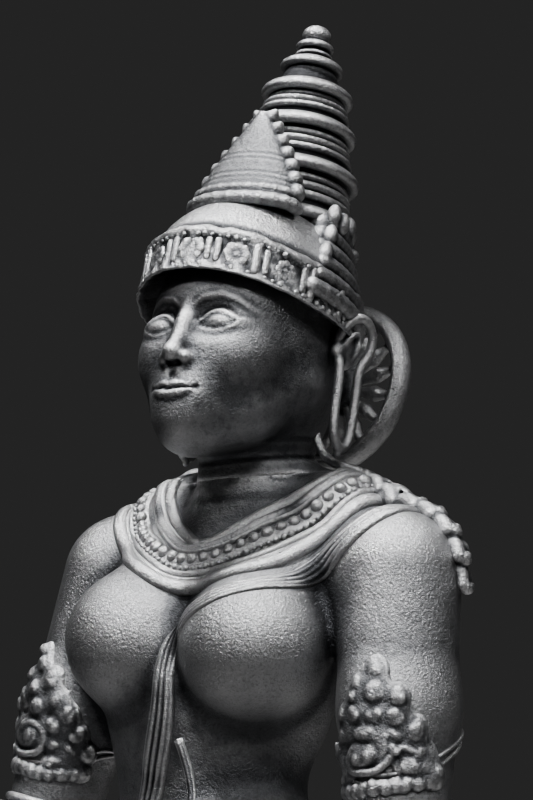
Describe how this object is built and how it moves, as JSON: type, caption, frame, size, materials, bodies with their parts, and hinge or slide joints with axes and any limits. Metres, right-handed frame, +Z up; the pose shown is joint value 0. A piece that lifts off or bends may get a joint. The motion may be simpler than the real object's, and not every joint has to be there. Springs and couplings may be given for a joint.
{
  "type": "standing goddess figure",
  "caption": "Standing bronze goddess with a tall ringed crown, one hand raised and the other hanging, on a round lotus over a square moulded plinth.",
  "frame": {"origin": "centre of the plinth's flat underside", "axes": "+Z up along the figure, -Y the way that she faces, +X towards her left"},
  "size_m": [0.1927, 0.1856, 0.6792],
  "materials": {
    "cast_bronze": "as-cast bronze with a dark grey patina, worn paler on what stands out",
    "plinth_bronze": "as-cast bronze with a darker grey patina"
  },
  "bodies": {
    "root": {"figure": "cast_bronze", "lotus_plinth": "plinth_bronze"}
  },
  "joints": []
}
